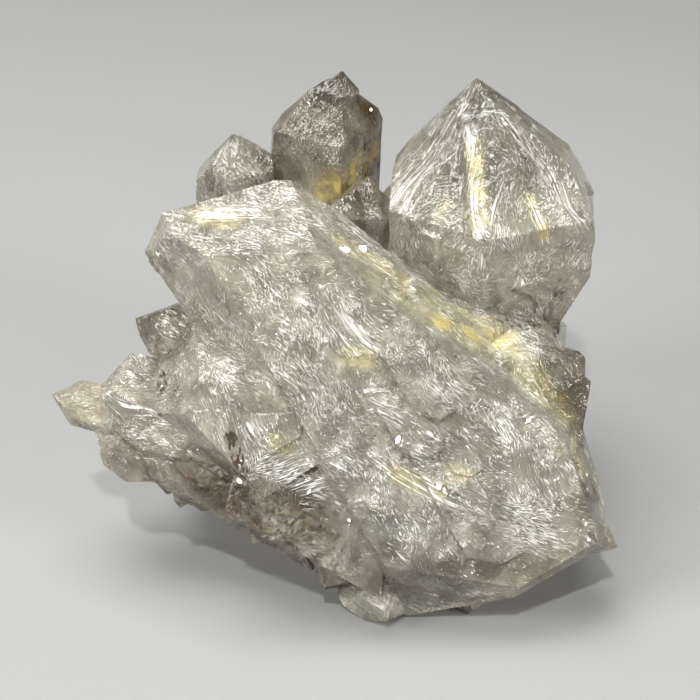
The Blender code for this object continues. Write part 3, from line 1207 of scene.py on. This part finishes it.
@dataclass
class BrightEnds:
    """Clean ends of small crystals in the faces, turned so that each shines in the lamp."""

    spots: tuple[tuple[Triple, float], ...] = (
        ((2.5, -10.1, 67.1), 1.2), ((5.9, -4.8, 64.7), 0.9), ((12.4, -32.1, 39.1), 0.8),
        ((-4.0, -34.9, 29.5), 0.45), ((3.4, -36.9, 24.4), 0.35), ((36.6, -28.9, 41.3), 0.4),
        ((48.2, -37.3, 20.3), 0.4), ((7.9, 32.6, 78.9), 0.35), ((6.5, -28.3, 47.3), 0.45),
        ((-16.9, -34.3, 31.5), 0.6),
    )
    narrow: Pair = (0.4, 0.8)
    flare: float = 1.4

    def build(self, studio: Studio) -> bpy.types.Object:
        """Makes all the ends as one piece.

        Args:
            studio: where the lamp and the camera are, between which the ends face.

        Returns:
            The piece.
        """
        rng = random.Random(SEED + 2)
        mesh = bmesh.new()
        for spot, radius in self.spots:
            lamp = (Vector(studio.lamp.place) - Vector(spot)).normalized()
            eye = (Vector(studio.camera_place) - Vector(spot)).normalized()
            self.add_end(mesh, Vector(spot), radius, (lamp + eye).normalized(), rng)
        ends = make_object("bright_ends", mesh)
        ends.data.materials.append(ClearFinish().build("clear_growth"))
        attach(ends, "root")
        return ends

    def add_end(self, mesh: bmesh.types.BMesh, spot: Vector, radius: float, facing: Vector,
                rng: random.Random) -> None:
        """Adds the end of a small crystal that shines.

        Args:
            mesh: the piece's mesh.
            spot: where it stands on the body, in millimetres.
            radius: the radius of its end.
            facing: the direction that its end looks in.
            rng: the source of its unevenness.
        """
        end = bmesh.ops.create_cone(mesh, cap_ends=True, segments=5,
                                    radius1=radius * self.flare, radius2=radius,
                                    depth=radius * 3)
        turn = facing.to_track_quat("Z", "X").to_matrix() @ spin(rng)
        shape = Matrix.Diagonal((rng.uniform(*self.narrow), 1.0, 1.0))
        for vert in end["verts"]:
            vert.co = (spot - facing * radius * 1.1 + turn @ (shape @ vert.co)) * MM


@dataclass
class InnerVeils:
    """Healed fractures inside the clear parts: thin wavy sheets seen through the faces."""

    count: int = 90
    tries: int = 3
    length: Pair = (3.0, 10.0)
    slimness: Pair = (0.12, 0.35)
    depth: Pair = (1.0, 5.0)
    lean: Pair = (0.5, 0.35)
    bend: float = 0.25
    thickness: float = 0.05
    cover: float = 0.3
    least: float = 0.4

    def build(self, body: bpy.types.Object) -> bpy.types.Object:
        """Makes all the veils as one piece inside the body.

        Args:
            body: the cluster's body.

        Returns:
            The piece.
        """
        rng = random.Random(SEED)
        tree = BVHTree.FromObject(body, bpy.context.evaluated_depsgraph_get())
        faces = body.data.polygons
        picks = rng.choices(faces, weights=[f.area for f in faces], k=self.count * self.tries)
        mesh = bmesh.new()
        made = 0
        for face in picks:
            deep = rng.uniform(*self.depth)
            spot = face.center - face.normal * deep * MM
            length = rng.uniform(*self.length)
            if made == self.count or not self.has_room(tree, spot, length * MM):
                continue
            veil = self.add_veil(mesh, spot / MM, face.normal, length, rng)
            if self.fit_inside(mesh, tree, spot, veil):
                self.thicken(mesh, veil)
                made += 1
        bmesh.ops.recalc_face_normals(mesh, faces=mesh.faces[:])
        for shaped in mesh.faces:
            shaped.smooth = True
        veils = make_object("healed_fractures", mesh)
        veils.data.materials.append(VeilFinish().build("healed_fracture"))
        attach(veils, "root")
        return veils

    def has_room(self, tree: BVHTree, spot: Vector, length: float) -> bool:
        """Tells if a spot is far enough under the faces, and over the floor, for a veil."""
        return stand_out(tree, spot) < -self.cover * MM and spot.z > length * 0.22

    def fit_inside(self, mesh: bmesh.types.BMesh, tree: BVHTree, spot: Vector,
                   veil: list[bmesh.types.BMVert]) -> bool:
        """Shrinks a veil until it lies under the faces, or takes it away if it gets too small.

        Args:
            mesh: the mesh that holds the veil.
            tree: the body's faces.
            spot: the veil's middle, inside the body.
            veil: the veil's vertices.

        Returns:
            Whether the veil is kept.
        """
        cover = self.cover * MM
        room = 1.0
        for vert in veil:
            way = vert.co - spot
            hit, _, _, far = tree.ray_cast(spot, way, way.length + cover)
            if hit:
                room = min(room, (far - cover) / way.length)
        if room < self.least:
            bmesh.ops.delete(mesh, geom=veil, context="VERTS")
            return False
        for vert in veil:
            vert.co = spot + (vert.co - spot) * room
        return True

    def thicken(self, mesh: bmesh.types.BMesh, veil: list[bmesh.types.BMVert]) -> None:
        """Makes a veil a thin closed sheet, raised along its mean normal.

        Args:
            mesh: the mesh that holds the veil.
            veil: the veil's vertices.
        """
        sheet = list(dict.fromkeys(face for vert in veil for face in vert.link_faces))
        normal = Vector()
        for face in sheet:
            face.normal_update()
            normal += face.normal
        shell = bmesh.ops.extrude_face_region(mesh, geom=sheet)
        raised = [part for part in shell["geom"] if isinstance(part, bmesh.types.BMVert)]
        bmesh.ops.translate(mesh, vec=normal.normalized() * self.thickness * MM, verts=raised)

    def add_veil(self, mesh: bmesh.types.BMesh, spot: Vector, normal: Vector, length: float,
                 rng: random.Random) -> list[bmesh.types.BMVert]:
        """Adds one veil.

        Args:
            mesh: the piece's mesh.
            spot: its middle in millimetres.
            normal: the outward normal of the face above it.
            length: its length in millimetres.
            rng: the source of its unevenness.

        Returns:
            Its vertices.
        """
        grid = bmesh.ops.create_grid(mesh, x_segments=9, y_segments=4, size=0.5)
        width = length * rng.uniform(*self.slimness)
        lean = tilt(*(rng.uniform(-most, most) for most in self.lean))
        turn = normal.to_track_quat("Z", "X").to_matrix()
        about = spin(rng)
        bend = rng.uniform(-self.bend, self.bend) * length
        shift = Vector((rng.uniform(0, 99), rng.uniform(0, 99), 0))
        for vert in grid["verts"]:
            u, v = vert.co.x * 2, vert.co.y * 2
            taper = math.sqrt(max(1.0 - u * u, 0.03))
            ragged = noise.noise(Vector((u * 2, v * 2, 0)) + shift)
            flat = Vector((
                u * length / 2,
                (v * taper + 0.35 * ragged) * width / 2 + bend * u * u * 0.4,
                0.25 * noise.noise(Vector((u * 1.5, v, 5)) + shift) * width,
            ))
            vert.co = (spot + turn @ (about @ (lean @ flat))) * MM
        return grid["verts"]


def main() -> None:
    """Builds the cluster and its studio, and reports each piece."""
    noise.seed_set(SEED)
    logging.basicConfig(level=logging.INFO, format="%(name)s: %(message)s")
    cluster = CrystalBody()
    body = cluster.build()
    log.info("body: %d faces", len(body.data.polygons))
    veils = InnerVeils().build(body)
    log.info("healed fractures: %d faces", len(veils.data.polygons))
    plates = GrowthPlates().build(body, cluster)
    log.info("growth plates: %d faces", len(plates.data.polygons))
    studio = Studio()
    ends = BrightEnds().build(studio)
    log.info("bright ends: %d faces", len(ends.data.polygons))
    studio.build()
    log.info("size file written")


if __name__ == "__main__":
    main()
